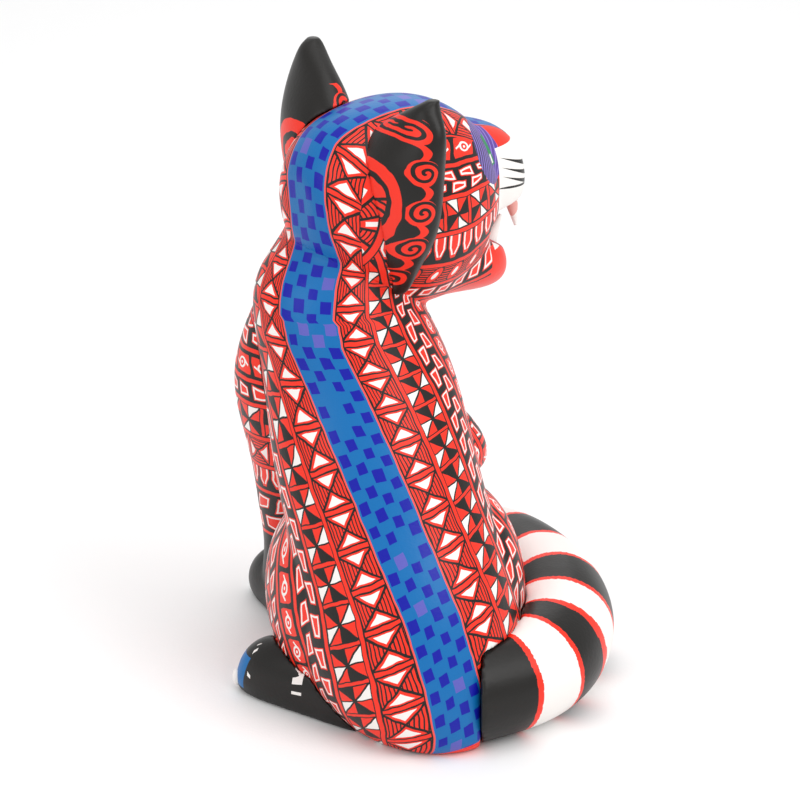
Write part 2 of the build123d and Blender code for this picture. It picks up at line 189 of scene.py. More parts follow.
class Paint:
    """One material, built node by node."""

    def __init__(self, name):
        self.material = bpy.data.materials.new(name)
        self.material.use_nodes = True
        self.tree = self.material.node_tree
        self.tree.nodes.clear()

    def node(self, kind, settings=None, sockets=None, out=0):
        made = self.tree.nodes.new(kind)
        for key, value in (settings or {}).items():
            setattr(made, key, value)
        for key, value in (sockets or {}).items():
            self.feed(made.inputs[key], value)
        return Sum(self, made.outputs[out])

    def feed(self, socket, value):
        if isinstance(value, Sum):
            self.tree.links.new(value.socket, socket)
        elif isinstance(value, tuple) and socket.type == "RGBA" and len(value) == 3:
            socket.default_value = (*value, 1)
        else:
            socket.default_value = value

    def math(self, operation, *values):
        return self.node("ShaderNodeMath", {"operation": operation}, dict(enumerate(values)))

    def over(self, under, colour, mask):
        """colour laid over under, where mask is 1."""
        made = self.tree.nodes.new("ShaderNodeMix")
        made.data_type = "RGBA"
        for socket, value in ((made.inputs[0], mask), (made.inputs[6], under),
                              (made.inputs[7], colour)):
            self.feed(socket, value)
        return Sum(self, made.outputs[2])

    def measure(self, name):
        """A number stored on the piece's points, in millimetres."""
        return self.node("ShaderNodeAttribute", {"attribute_name": name}, out=2)

    def place(self):
        return self.node("ShaderNodeTexCoord", out=3)

    def parts_of(self, vector):
        split = self.tree.nodes.new("ShaderNodeSeparateXYZ")
        self.feed(split.inputs[0], vector)
        return [Sum(self, output) for output in split.outputs]

    def noise(self, scale, detail=2.0, where=None, out=0):
        return self.node("ShaderNodeTexNoise", {"noise_dimensions": "3D"},
                         {"Vector": where or self.place(), "Scale": scale, "Detail": detail}, out)

    def along(self, direction, origin=(0, 0, 0)):
        """How far a point lies from origin in a direction, in millimetres."""
        moved = self.node("ShaderNodeVectorMath", {"operation": "SUBTRACT"},
                          {0: self.place(), 1: tuple(c * MM for c in origin)})
        dot = self.node("ShaderNodeVectorMath", {"operation": "DOT_PRODUCT"},
                        {0: moved, 1: tuple(c / MM for c in direction)}, out=1)
        return dot

    GLOSS, COAT_ROUGHNESS, RIDGE_STRENGTH = 0.28, 0.28, 0.5

    def finish(self, colour, roughness=0.38, brush=0.00014, sheen=0.05):
        """Satin acrylic: a soft gloss that varies, and the faint ridges that a brush leaves."""
        shader = self.tree.nodes.new("ShaderNodeBsdfPrincipled")
        shader.inputs["Coat Weight"].default_value = sheen
        shader.inputs["Specular IOR Level"].default_value = self.GLOSS
        shader.inputs["Coat Roughness"].default_value = self.COAT_ROUGHNESS
        self.feed(shader.inputs["Base Color"], colour)
        worn = self.noise(60.0, 3.0)
        self.feed(shader.inputs["Roughness"], worn * 0.16 + (roughness - 0.08))
        ridges = self.noise(700.0, 2.0) + self.noise(55.0, 1.0) * 3.0
        bump = self.node("ShaderNodeBump", {}, {"Height": ridges, "Distance": brush,
                                                 "Strength": self.RIDGE_STRENGTH})
        self.feed(shader.inputs["Normal"], bump)
        output = self.tree.nodes.new("ShaderNodeOutputMaterial")
        self.tree.links.new(shader.outputs[0], output.inputs[0])
        print(self.material.name, "has", len(self.tree.nodes), "nodes")
        return self.material


def colour(code):
    """A paint's colour from its sRGB hex code, as linear light."""
    parts = [int(code[i:i + 2], 16) / 255 for i in (0, 2, 4)]
    return tuple(p / 12.92 if p < 0.04045 else ((p + 0.055) / 1.055) ** 2.4 for p in parts)


RED, BLACK, WHITE = colour("F2301C"), colour("191715"), colour("F1EDE9")
# The lavender is a painted highlight: the painted glint on a few of the spine stripe's dabs.
BLUE, DEEP_BLUE, LAVENDER_GLINT = colour("0468AA"), colour("06109C"), colour("5C5CB4")
PINK_RED, PURPLE, LILAC = colour("F0524A"), colour("5E4396"), colour("8C7CC8")
GREEN, DARK_RED, FLESH = colour("1F8A4C"), colour("B01830"), colour("E8A79E")

floor_paint = Paint("pale_table")
floor.data.materials.append(floor_paint.finish(colour("F6F6F6"), roughness=0.7, sheen=0.0))

# %% [markdown]
# ## Carved skins
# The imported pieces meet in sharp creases. On the real figure the maker fills those joints and sands
# them over before painting. A voxel remesh fuses copies of the torso, forelegs and head into one
# skin, and a few rounds of smoothing take off the edges, as sandpaper does. The skin is then sawn
# through at the neck, so that the body and the head stay two pieces with one continuous surface.


# %% Skin tools
def largest_shell(shape):
    """Keeps the biggest connected shell of a bmesh, and deletes crumbs left by the remesh."""
    shape.verts.ensure_lookup_table()
    seen, shells = set(), []
    for start in shape.verts:
        if start in seen:
            continue
        shell, edge = [start], [start]
        seen.add(start)
        while edge:
            vertex = edge.pop()
            for link in vertex.link_edges:
                other = link.other_vert(vertex)
                if other not in seen:
                    seen.add(other)
                    shell.append(other)
                    edge.append(other)
        shells.append(shell)
    shells.sort(key=len)
    for shell in shells[:-1]:
        bmesh.ops.delete(shape, geom=shell, context="VERTS")
    return len(shells)


def carved_skin(name, cad_names, voxel, rounds):
    """Copies of CAD nodes, welded, fused at voxel millimetres and sanded; returns a bmesh."""
    block = bmesh.new()
    for cad_name in cad_names:
        block.from_mesh(nodes[cad_name].data)
    bmesh.ops.remove_doubles(block, verts=block.verts, dist=1e-6)
    mesh = bpy.data.meshes.new(name)
    block.to_mesh(mesh)
    block.free()
    raw = bpy.data.objects.new(name, mesh)
    scene.collection.objects.link(raw)
    fuse = raw.modifiers.new("fuse", "REMESH")
    fuse.mode, fuse.voxel_size, fuse.use_smooth_shade = "VOXEL", voxel * MM, True
    sand = raw.modifiers.new("sand", "SMOOTH")
    sand.factor, sand.iterations = 0.5, rounds
    fused = bpy.data.meshes.new_from_object(
        raw.evaluated_get(bpy.context.evaluated_depsgraph_get()))
    bpy.data.objects.remove(raw)
    skin = bmesh.new()
    skin.from_mesh(fused)
    bpy.data.meshes.remove(fused)
    shells = largest_shell(skin)
    print(name, "skin:", len(skin.faces), "faces, shells", shells)
    return skin


def sawn(skin, point, normal):
    """The part of a skin on the side that normal points to, closed at the cut."""
    part = skin.copy()
    cut = bmesh.ops.bisect_plane(part, geom=part.verts[:] + part.edges[:] + part.faces[:],
                                 plane_co=point, plane_no=normal, clear_inner=True)
    rim = [g for g in cut["geom_cut"] if isinstance(g, bmesh.types.BMEdge) and g.is_boundary]
    bmesh.ops.holes_fill(part, edges=rim, sides=0)
    return part


def finished_piece(name, shape, material, body, slot, *replaced):
    """A mesh object made from a bmesh, smooth, riding on a body."""
    mesh = bpy.data.meshes.new(name)
    shape.to_mesh(mesh)
    shape.free()
    mesh.shade_smooth()
    piece = bpy.data.objects.new(name, mesh)
    scene.collection.objects.link(piece)
    mesh.materials.clear()
    mesh.materials.append(material)
    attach(piece, body)
    if replaced:
        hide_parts(*replaced)
    return piece


def points_of(mesh):
    """A mesh's points in millimetres."""
    flat = np.empty(len(mesh.vertices) * 3)
    mesh.vertices.foreach_get("co", flat)
    return flat.reshape(-1, 3) / MM


def store(mesh, name, values):
    """Keeps one number for each point, for a material to read."""
    layer = mesh.attributes.new(name, "FLOAT", "POINT")
    layer.data.foreach_set("value", np.asarray(values, np.float32))


# %% [markdown]
# ## The line that the bands follow
# Every band runs beside the blue stripe of the spine, from the tail over the back and the crown to
# the nose. A line through the middle of the body carries, at each step, the direction of the stripe
# and the way round to the cat's right. Each point of the skin finds its place on that line. Its
# distance along gives the pattern's length, and its angle round, times its radius, gives the width.

# %% Body line
HEAD_CENTRE = np.array((-9.0, -37.0, 197.0))
HEAD_TURN = math.radians(75)
AHEAD = np.array((-math.sin(HEAD_TURN), -math.cos(HEAD_TURN), 0.0))
HEAD_RIGHT = np.array((-math.cos(HEAD_TURN), math.sin(HEAD_TURN), 0.0))
UP = np.array((0.0, 0.0, 1.0))
TORSO_STEPS = np.array((  # height, middle x, middle y, turn of the stripe in degrees, depth behind
    (-12, -3, 17, 0, 44), (10, -2, 17, 0, 49), (30, 1, 15, 0, 48), (55, 3, 10, 4, 44),
    (84, 6, -2, 12, 39), (108, 8, -13, 20, 38), (130, 9, -24, 30, 37), (150, 13, -31, 38, 34)), float)
BEND_START = np.array((14.0, -33.0, 160.0))
BEND_START_TURN = math.radians(42)
BEND_STEPS = 24
BEND_DEPTHS = (33, 40)
FACE_DEPTHS = ((0, 30, 60), (40, 30, 12))


def body_line():
    """Middle, direction, stripe side, right side and the stripe's own length, step by step."""
    heights = np.arange(-12.0, 160.0, 2.0)
    middle = np.stack([np.interp(heights, TORSO_STEPS[:, 0], TORSO_STEPS[:, k]) for k in (1, 2)]
                      + [heights], 1)
    turn = np.radians(np.interp(heights, list(TORSO_STEPS[:, 0]) + [186],
                                list(TORSO_STEPS[:, 3]) + [55]))
    direction = np.tile(UP, (len(heights), 1))
    stripe = np.stack([np.sin(turn), np.cos(turn), 0 * turn], 1)
    depth = np.interp(heights, TORSO_STEPS[:, 0], TORSO_STEPS[:, 4])
    bend_middle, bend_direction, bend_stripe = [], [], []
    bend_end = HEAD_CENTRE + AHEAD * 4 - UP * 2
    for step in range(BEND_STEPS + 1):
        part = step / BEND_STEPS
        lean = part * math.pi / 2
        turn_here = BEND_START_TURN + (HEAD_TURN - BEND_START_TURN) * min(1, part * 1.6)
        back = np.array((math.sin(turn_here), math.cos(turn_here), 0))
        straight = BEND_START * (1 - part) ** 2 + bend_end * part ** 2
        corner = 2 * part * (1 - part) * (bend_end - AHEAD * 16 - UP * 3)
        bend_middle.append(straight + corner)
        bend_direction.append(math.cos(lean) * UP - math.sin(lean) * back)
        bend_stripe.append(math.cos(lean) * back + math.sin(lean) * UP)
    ahead = np.arange(2.0, 70.0, 2.0)
    face_middle = bend_end + ahead[:, None] * AHEAD
    count = len(ahead)
    middle = np.concatenate([middle, bend_middle, face_middle])
    direction = np.concatenate([direction, bend_direction, np.tile(AHEAD, (count, 1))])
    stripe = np.concatenate([stripe, bend_stripe, np.tile(UP, (count, 1))])
    depth = np.concatenate([depth, np.linspace(*BEND_DEPTHS, BEND_STEPS + 1),
                            np.interp(ahead, *FACE_DEPTHS)])
    on_stripe = middle + stripe * depth[:, None]
    steps = np.linalg.norm(np.diff(on_stripe, axis=0), axis=1)
    return middle, direction, stripe, np.cross(direction, stripe), np.insert(np.cumsum(steps), 0, 0)


MIDDLE, DIRECTION, STRIPE, RIGHT, LENGTH = body_line()
print("the stripe is", round(LENGTH[-1]), "mm long in", len(MIDDLE), "steps")


def on_body_line(points):
    """For each point: length along the stripe, distance round from it, and the local radius."""
    steps = np.arange(len(MIDDLE), dtype=float)
    found = np.empty(len(points))
    for first in range(0, len(points), 8000):
        chunk = points[first:first + 8000]
        away = ((chunk[:, None, :] - MIDDLE[None]) ** 2).sum(2)
        found[first:first + 8000] = away.argmin(1)

    def at(table, where):
        return np.stack([np.interp(where, steps, table[:, k]) for k in range(3)], 1)

    for _ in range(14):
        off = ((points - at(MIDDLE, found)) * at(DIRECTION, found)).sum(1)
        found = np.clip(found + off * 0.12, 0, len(MIDDLE) - 1)
    from_middle = points - at(MIDDLE, found)
    to_stripe = (from_middle * at(STRIPE, found)).sum(1)
    to_right = (from_middle * at(RIGHT, found)).sum(1)
    radius = np.hypot(to_stripe, to_right)
    return np.interp(found, steps, LENGTH), np.arctan2(to_right, to_stripe) * radius, radius


STRIPE_HALF = 11.0
SLANT_OF_BARS = ((0, 40, 130, 175, 200), (0.38, 0.45, 0.42, 0.15, 0.0))
RIGHT_SHARE_OF_SLANT = 0.6
BAND_RADIUS = 40.0


def body_measures(points):
    """along and round in millimetres, and across: the band coordinate, 0 at the stripe's edge.
    The stripe climbs at a slant over the back, and the bars lean with it, less so on the right."""
    along, around, radius = on_body_line(points)
    scale = np.clip(radius / BAND_RADIUS, 0.62, 1.3)
    slant = np.interp(along, *SLANT_OF_BARS) * np.where(around > 0, RIGHT_SHARE_OF_SLANT, 1.0)
    return along - slant * around, around, (np.abs(around) - STRIPE_HALF) / scale


# %% [markdown]
# ## Bands of pattern
# Each band repeats one small drawing. Each function draws a unit from x, measured along the band
# from the unit's middle, and y, measured across from the band's centre line. The units are the
# ones that the painter used: hatched crosses, pinwheels of eight triangles, staggered trapezoids
# with a white line, parallelograms with a scroll, pointed arches, and slanted ovals on fine lines.


# %% Units of pattern
def crossed_unit(p, x, y, pitch, half, side):
    """A cross between two red bars, white hearts on the bars, fine lines in the side triangles."""
    reach = abs(x) / (pitch / 2 - 1.5)
    wide = abs(y) / half
    tip = reach - wide
    paint = p.over(RED, BLACK, (y % 1.5 < 0.55) & (tip < 0.0))
    paint = p.over(paint, WHITE, (tip > 0.3) & (reach < 0.9))
    paint = p.over(paint, BLACK, (abs(tip) < 0.10) | (reach > 1.0))
    return p.over(paint, RED, abs(x) > pitch / 2 - 0.8)


def pinwheel_unit(p, x, y, pitch, half, side):
    """Eight triangles round a point, black, red and white by turns, between thin red bars."""
    long = x / (pitch / 2 - 1.2)
    wide = y * side / half
    turning = long * wide > 0.0
    steep = abs(long) > abs(wide)
    paint = p.over(RED, WHITE, turning & ~steep)
    paint = p.over(paint, BLACK, steep & ~turning)
    lines = (abs(long) < 0.05) | (abs(wide) < 0.06) | (abs(abs(long) - abs(wide)) < 0.09)
    paint = p.over(paint, BLACK, lines | (abs(long) > 1.0))
    return p.over(paint, RED, abs(x) > pitch / 2 - 0.65)


def trapezoid_unit(p, x, y, pitch, half, side, rows=2):
    """Red trapezoids with a white line inside, on black, in one row or two staggered rows."""
    if rows == 2:
        outer = y > 0.0
        x = (x + outer * (pitch / 2) + pitch * 1.5) % pitch - pitch / 2
        y = abs(y) - half / 2
        lean = 1.0 - outer * 2.0
        room = half / 2
    else:
        lean, room = 1.0, half
    edge = (abs(y + x * 0.08) - (x * lean * 0.14 + room * 0.66)).most(abs(x + y * 0.2) - pitch * 0.33)
    paint = p.over(BLACK, RED, edge < 0.35)
    paint = p.over(paint, WHITE, edge < -0.15)
    return p.over(paint, RED, edge < -0.95)


def scroll_unit(p, x, y, pitch, half, side):
    """A red parallelogram with a white scroll: a ring with a tail each way."""
    slanted = x + y * side * 0.45
    paint = p.over(BLACK, RED, (abs(slanted) < pitch * 0.43) & (abs(y) < half - 1.0))
    ring = (x * x * 0.7 + y * y).root()
    tail = abs(y * side - (x > 0.0) * 4.4 + 2.2 + x * 0.5) < 0.42
    white = (abs(ring - 1.9) < 0.42) | (ring < 0.6) | (tail & (abs(x) > 1.6) & (abs(x) < pitch * 0.36))
    return p.over(paint, WHITE, white & (abs(y) < half - 1.4))


def arch_unit(p, x, y, pitch, half, side):
    """Red arches that come to a point downwards, each with a white line inside, on black."""
    down = y + half
    edge = abs(x) - (pitch * 0.42 - (down - half * 0.9).most(0.0) * 0.42)
    paint = p.over(BLACK, RED, (edge < 0.0) & (down < half * 1.75))
    return p.over(paint, WHITE, (abs(edge + 1.0) < 0.4) & (down < half * 1.5))


def oval_unit(p, x, y, pitch, half, side):
    """Slanted ovals, red with a white heart, on fine black lines."""
    slanted = x + y * 0.45
    ring = (slanted * slanted + y * y * 0.42).root()
    paint = p.over(RED, BLACK, y % 1.2 < 0.65)
    paint = p.over(paint, BLACK, ring < 3.0)
    paint = p.over(paint, RED, ring < 2.5)
    return p.over(paint, WHITE, ring < 1.15)


def small_trapezoid_unit(p, x, y, pitch, half, side):
    """One row of the same trapezoids, for the narrow bands."""
    return trapezoid_unit(p, x, y, pitch, half, side, rows=1)


# %% Laying bands side by side
BODY_BANDS = (  # first edge, last edge, the unit, its pitch along the band
    (0.9, 16.0, crossed_unit, 15.6), (18.4, 32.0, pinwheel_unit, 15.2),
    (34.4, 48.0, trapezoid_unit, 12.4), (50.4, 60.6, scroll_unit, 13.0),
    (63.0, 71.0, small_trapezoid_unit, 9.6), (73.4, 87.0, pinwheel_unit, 15.2),
    (89.4, 102.0, crossed_unit, 14.6), (104.4, 116.0, arch_unit, 7.2),
    (118.4, 140.0, trapezoid_unit, 12.4))
HEAD_BANDS = (
    (18.4, 29.6, scroll_unit, 13.5), (32.0, 42.4, trapezoid_unit, 10.4),
    (44.8, 57.0, pinwheel_unit, 12.6), (59.4, 70.6, arch_unit, 6.8),
    (73.0, 81.0, oval_unit, 9.8), (83.0, 91.0, small_trapezoid_unit, 8.0))


def lay_bands(p, paint, bands, along, across, side):
    """Paints each band over what is there, with a red line, edged black, after each one."""
    for first, last, unit, pitch in bands:
        half = (last - first) / 2
        x = (along + first * 1.7) % pitch - pitch / 2
        drawn = unit(p, x, across - (first + half), pitch, half - 0.3, side)
        paint = p.over(paint, drawn, (across > first) & (across < last))
        paint = p.over(paint, BLACK, abs(across - last - 1.15) < 1.6)
        paint = p.over(paint, RED, abs(across - last - 1.15) < 0.85)
    return paint


DAB_COLUMN, DAB_ROW = 5.4, 9.6


def lay_stripe(p, paint, along, around):
    """The blue stripe with four staggered columns of dark dabs, a few of them lavender as painted glints,
    and its two edge lines.
    """
    column = (around / DAB_COLUMN).floor()
    in_column = abs(around - (column + 0.5) * DAB_COLUMN)
    shift = (abs(column) % 2.0) * (DAB_ROW / 2) + along
    row = (shift / DAB_ROW).floor()
    in_row = abs(shift - (row + 0.5) * DAB_ROW)
    chance = p.node("ShaderNodeTexWhiteNoise", {"noise_dimensions": "2D"},
                    {"Vector": p.node("ShaderNodeCombineXYZ", {}, {0: column, 1: row})})
    size = chance * 0.5
    dab = (in_column < size + 1.75) & (in_row < size + 2.1) & (chance < 0.97)
    # The dark dabs are the stripe's own paint. The lavender on a few of them, chosen at random, is a
    # painted highlight, a painted glint.
    blue = p.over(BLUE, p.over(DEEP_BLUE, LAVENDER_GLINT, chance > 0.9), dab)
    paint = p.over(paint, BLACK, abs(around) < STRIPE_HALF + 1.3)
    paint = p.over(paint, PINK_RED, abs(around) < STRIPE_HALF + 0.75)
    return p.over(paint, blue, abs(around) < STRIPE_HALF)


def hand(p, value, scale, reach, channel):
    """The small wander of a painter's hand, added to a measure."""
    shaky = p.noise(scale, 1.0, out=1)
    return value + (p.parts_of(shaky)[channel] - 0.5) * reach


def band_measures(p):
    along = hand(p, p.measure("along"), 170.0, 1.5, 0)
    across = hand(p, p.measure("across"), 150.0, 1.3, 1)
    around = hand(p, p.measure("around"), 120.0, 1.0, 2)
    side = (around > 0.0) * 2.0 - 1.0
    return along, across, around, side


# %% [markdown]
# ## Body
# One skin covers the torso and the two forelegs, with the joints filled. The forelegs carry their
# own bands, which run round each leg, so their points take their measures from the leg's middle.
# The paws are black from the wrist down.

# %% Body and head skin
BODY_NODES = ("torso", "left_foreleg", "right_foreleg", "head", "neck_dowel",
              "left_foreleg_dowel", "right_foreleg_dowel")
whole_skin = carved_skin("figure", BODY_NODES, voxel=1.05, rounds=9)
NECK_POINT = Vector((20, -29, 177)) * MM
NECK_NORMAL = Vector(AHEAD * 0.528 + UP * 0.849)
body_shape = sawn(whole_skin, NECK_POINT, -NECK_NORMAL)
head_shape = sawn(whole_skin, NECK_POINT, NECK_NORMAL)
whole_skin.free()

# %% Body paint
LEG_STEPS = {  # height, middle x, middle y, mean radius
    "left": ((150, 30, -49, 15), (136, 32, -52, 17.5), (118, 33, -55, 19), (95, 31, -58, 17),
             (70, 28, -64, 13.5), (45, 24, -72, 11.5), (24, 21, -78, 12.5), (0, 20, -80, 14)),
    "right": ((114, -20, -18, 8), (106, -24, -18, 14), (92, -28, -20, 17.5), (80, -27, -34, 16.5),
              (66, -26, -52, 13.5), (45, -23, -68, 12), (24, -21, -77, 12.5), (0, -20, -80, 14))}
LEG_BANDS_FROM = 35.0
WRIST_HEIGHT = 30.0


def leg_measures(points, steps):
    """Down the leg, round the leg, and how far out of the leg's own outline, in millimetres."""
    table = np.array(steps[::-1], float)
    middle = np.stack([np.interp(points[:, 2], table[:, 0], table[:, k]) for k in (1, 2)], 1)
    radius = np.interp(points[:, 2], table[:, 0], table[:, 3])
    away = points[:, :2] - middle
    round_it = np.arctan2(away[:, 0], away[:, 1]) * radius
    return table[-1, 0] - points[:, 2], round_it, np.hypot(*away.T) - radius


def paint_body():
    p = Paint("banded_body_paint")
    along, across, around, side = band_measures(p)
    paint = lay_bands(p, BLACK, BODY_BANDS, along, across, side)
    border = p.measure("border")
    paint = p.over(paint, BLACK, abs(border) < 1.5)
    paint = p.over(paint, RED, abs(border) < 0.9)
    torso_only = border < 0.0
    striped = lay_stripe(p, paint, along, around)
    paint = p.over(paint, striped, torso_only)
    height = p.along((0, 0, 1))
    low_red = (height < 3.5 + around * 0.28) & (abs(around) < STRIPE_HALF + 1.0)
    paint = p.over(paint, RED, low_red & torso_only)
    paw = hand(p, height, 90.0, 4.0, 0)
    paint = p.over(paint, BLACK, (paw < WRIST_HEIGHT) & (border > 0.0))
    return p.finish(paint)


body_paint = paint_body()
body = finished_piece("painted_body", body_shape, body_paint, "figure", "body_paint",
                      "torso", "left_foreleg", "right_foreleg")
body_points = points_of(body.data)
along, around, across = body_measures(body_points)
_, _, torso_radius = on_body_line(body_points)
border = np.full(len(body_points), -9.0)
TORSO_RADII = ((0, 60, 110, 150, 180), (46, 44, 39, 35, 28))
torso_out = torso_radius - np.interp(body_points[:, 2], *TORSO_RADII)
for steps in LEG_STEPS.values():
    down, round_leg, leg_out = leg_measures(body_points, steps)
    here = (torso_out - leg_out) + np.minimum(0, down - 6) * 0.8
    take = here > np.maximum(border, 0)
    along = np.where(take, round_leg, along)
    across = np.where(take, down + LEG_BANDS_FROM, across)
    around = np.where(take, 60.0, around)
    border = np.maximum(border, here)
for name, values in (("along", along), ("across", across), ("around", around),
                     ("border", border)):
    store(body.data, name, values)
print("body faces", len(body.data.polygons))

# %% [markdown]
# ## Drawing of an ear
# A chain of red scrolls runs down the outer strip of each ear. Behind it a red arch bounds a fan of
# petals, some with a white oval and some with fine lines, round a red drop. The drawing is worked
# out on the flat of the ear, so it also runs on over the part of the head behind the ear.


# %% Ear drawing
def ear_drawing(p, x, y, pitch, size, lift, lead):
    """Scrolls and petals; x is measured towards the nose from the ear's middle, y upwards. The scrolls
    are lifted, and lie further towards the nose by the lead."""
    cell = ((y + lift + pitch * 0.97) / pitch).floor()
    in_cell = (y + lift + pitch * 0.97) - (cell + 0.5) * pitch
    middle = lead - 1.4 - abs(y - 24.0) * 0.07
    turn = p.math("ARCTAN2", in_cell, x - middle) / (2 * math.pi)
    ring = ((x - middle) * (x - middle) + in_cell * in_cell).root()
    coil = ((ring / (size * 0.52) + turn) % 1.0 < 0.56) & (ring < size)
    wave = (in_cell * (2 * math.pi / pitch) + math.pi / 2).sine() * (size * 0.6)
    swing = abs(x - middle + size * 0.3 + wave) < (abs(in_cell) * 0.06 + 0.95)
    scrolls = (coil | (swing & (ring > size * 0.92))) & (y < 43.0)
    paint = p.over(BLACK, RED, scrolls)
    arch_x = (x + 21.5) / 12.0
    arch_y = (y - 11.0 - x * 0.25) / 28.0
    arch = (arch_x * arch_x + arch_y * arch_y).root()
    p.arch = arch
    fan_x, fan_y = x + 24.0, y - 1.0
    fan = p.math("ARCTAN2", fan_y, fan_x) * (13 / (2 * math.pi)) + 0.5
    petal = abs(fan % 1.0 - 0.5)
    far = (fan_x * fan_x + fan_y * fan_y).root()
    striped = fan.floor() % 2.0 > 0.5
    petals = p.over(RED, BLACK, (far % 1.5 < 0.55) & striped)
    seed = (petal * far * 0.55 < 1.1) & (abs(far - 12.5) < 4.0) & ~striped
    petals = p.over(petals, WHITE, seed)
    petals = p.over(petals, BLACK, (petal > 0.5 - 0.9 / 6.0) & (far * (0.5 - petal) < 1.1))
    drop = (fan_x * fan_x + fan_y * fan_y * 0.42).root()
    petals = p.over(petals, BLACK, drop < 6.6)
    petals = p.over(petals, RED, drop < 5.8)
    petals = p.over(petals, BLACK, abs(drop - 4.2) < 0.35)
    paint = p.over(paint, petals, arch < 1.0)
    paint = p.over(paint, BLACK, abs(arch - 1.0) < 0.15)
    return p.over(paint, RED, abs(arch - 1.0) < 0.085)


# %% [markdown]
# ## Head
# The stripe and the first band carry on from the neck to the nose. Behind a line under the ear the
# body's bands run up the neck; in front of it the cheek has its own set. The face is laid over
# them: purple eyes, a white muzzle with three brush strokes, a black nose and a red chin.


# %% Head paint
EYE_AHEAD, EYE_RISE, EYE_HALF_LENGTH, EYE_HALF_HEIGHT = 31.5, 17.0, 9.0, 11.5
WHISKER_RISES = (11.0, 7.3, 3.8)
EAR_MIDDLE_BEHIND = 15.0
NEAR_CHAIN = (15.4, 5.3, 0.0, -0.4)
FAR_CHAIN = (11.0, 4.4, 3.0, 3.8)


def paint_head():
    p = Paint("banded_head_paint")
    along, across, around, side = band_measures(p)
    ahead = p.along(AHEAD, HEAD_CENTRE)
    rise = p.along(UP, HEAD_CENTRE)
    out = abs(p.along(HEAD_RIGHT, HEAD_CENTRE))
    neck = lay_bands(p, BLACK, BODY_BANDS[:4], along, across, side)
    cheek_from = ahead + 29.0 + (rise + 5.0).least(0.0) * 0.46
    cheek_from = hand(p, cheek_from, 120.0, 1.0, 0)
    cheek = lay_bands(p, RED, HEAD_BANDS, hand(p, p.measure("cheek_along"), 170.0, 1.2, 0),
                      hand(p, p.measure("cheek_across"), 150.0, 1.2, 1), side)
    paint = p.over(neck, cheek, (cheek_from > 0.0) & (across > 17.0))
    edge = abs(cheek_from)
    paint = p.over(paint, BLACK, (edge < 1.6) & (across > 17.0))
    paint = p.over(paint, RED, (edge < 1.0) & (across > 17.0))
    # the face, from the bridge of the nose outwards
    bridge = (ahead > 33.0) & (rise > 6.0)
    paint = p.over(paint, RED, bridge)
    paint = p.over(paint, RED, (ahead > 33.0) & (rise < -22.0))
    paint = lay_stripe(p, paint, along, around * (1.0 + (ahead - 20.0).most(0.0) * 0.03))
    eye_x = (ahead - EYE_AHEAD + (rise - EYE_RISE) * 0.1) / EYE_HALF_LENGTH
    eye_y = (rise - EYE_RISE) / EYE_HALF_HEIGHT
    eye = (eye_x * eye_x + eye_y * eye_y).root()
    streak = p.node("ShaderNodeTexWave", {"wave_type": "BANDS", "bands_direction": "DIAGONAL"},
                    {"Vector": p.place(), "Scale": 210.0, "Distortion": 1.5}, out=1)
    lids = p.over(PURPLE, LILAC, streak > 0.82)
    lids = p.over(lids, BLACK, (streak < 0.2) & (eye_x < 0.1))
    lids = p.over(lids, GREEN, (abs(eye_x - 0.25) < 0.16) & (abs(eye_y) < 0.45))
    lids = p.over(lids, WHITE, (abs(eye_x - 0.22) < 0.08) & (abs(eye_y + 0.25) < 0.14))
    paint = p.over(paint, lids, (eye < 1.0) & (out > 8.0))
    muzzle = (ahead - 36.0 > (rise + 6.0).most(0.0) * 0.1) & (rise < 16.5) & (rise > -24.0)
    paint = p.over(paint, WHITE, muzzle)
    for place in WHISKER_RISES:
        stroke = abs(rise - place + (ahead - 45.0) * 0.35) < (ahead - 39.0) * 0.06
        paint = p.over(paint, BLACK, stroke & (out > 6.0) & (ahead < 56.0) & (ahead > 39.0))
    lip = abs(rise - 0.6 + (ahead - 44.0) * 0.12) < (ahead - 34.0).most(0.0).least(8.0) * 0.06
    paint = p.over(paint, BLACK, lip & (out > 9.0) & (ahead < 55.0))
    paint = p.over(paint, BLACK, (ahead - (rise - 9.0) * 0.4 + out * 0.2 > 48.0) & (rise > 4.0)
                   & (out < 7.0 - (9.0 - rise).most(0.0) * 0.8))
    inside = p.measure("mouth")
    paint = p.over(paint, p.over(FLESH, DARK_RED, rise < -14.0), inside > 0.5)
    behind_ear = ear_drawing(p, ahead + EAR_MIDDLE_BEHIND, rise, *NEAR_CHAIN)
    zone = (p.arch < 1.12) & (out > 16.0) & (across > 15.0)
    paint = p.over(paint, behind_ear, zone)
    return p.finish(paint)


head = finished_piece("painted_head", head_shape, paint_head(), "figure", "head_paint",
                      "head")
head_points = points_of(head.data)
along, around, across = body_measures(head_points)
from_centre = head_points - HEAD_CENTRE
ahead_of, right_of, above = (from_centre @ axis for axis in (AHEAD, HEAD_RIGHT, UP))
cheek_turn = np.arctan2(np.abs(right_of), above)
MOUTH_ENDS = (29, 70)
floor_of_mouth = np.interp(ahead_of, MOUTH_ENDS, (-16, -41))
roof_of_mouth = np.interp(ahead_of, MOUTH_ENDS, (-12, -3))
mouth = ((ahead_of > MOUTH_ENDS[0] - 0.4) & (above < roof_of_mouth + 0.8) & (above > floor_of_mouth - 0.9))
for name, values in (("along", along), ("across", across), ("around", around),
                     ("cheek_along", ahead_of), ("mouth", mouth),
                     ("cheek_across", cheek_turn * BAND_RADIUS - STRIPE_HALF
                      + 0.15 * np.maximum(ahead_of - 10, 0))):
    store(head.data, name, values)
print("head faces", len(head.data.polygons))

# %% [markdown]
# ## Ears
# Each ear is a leaf of wood on a peg, pushed into the head and painted black with red scrolls.

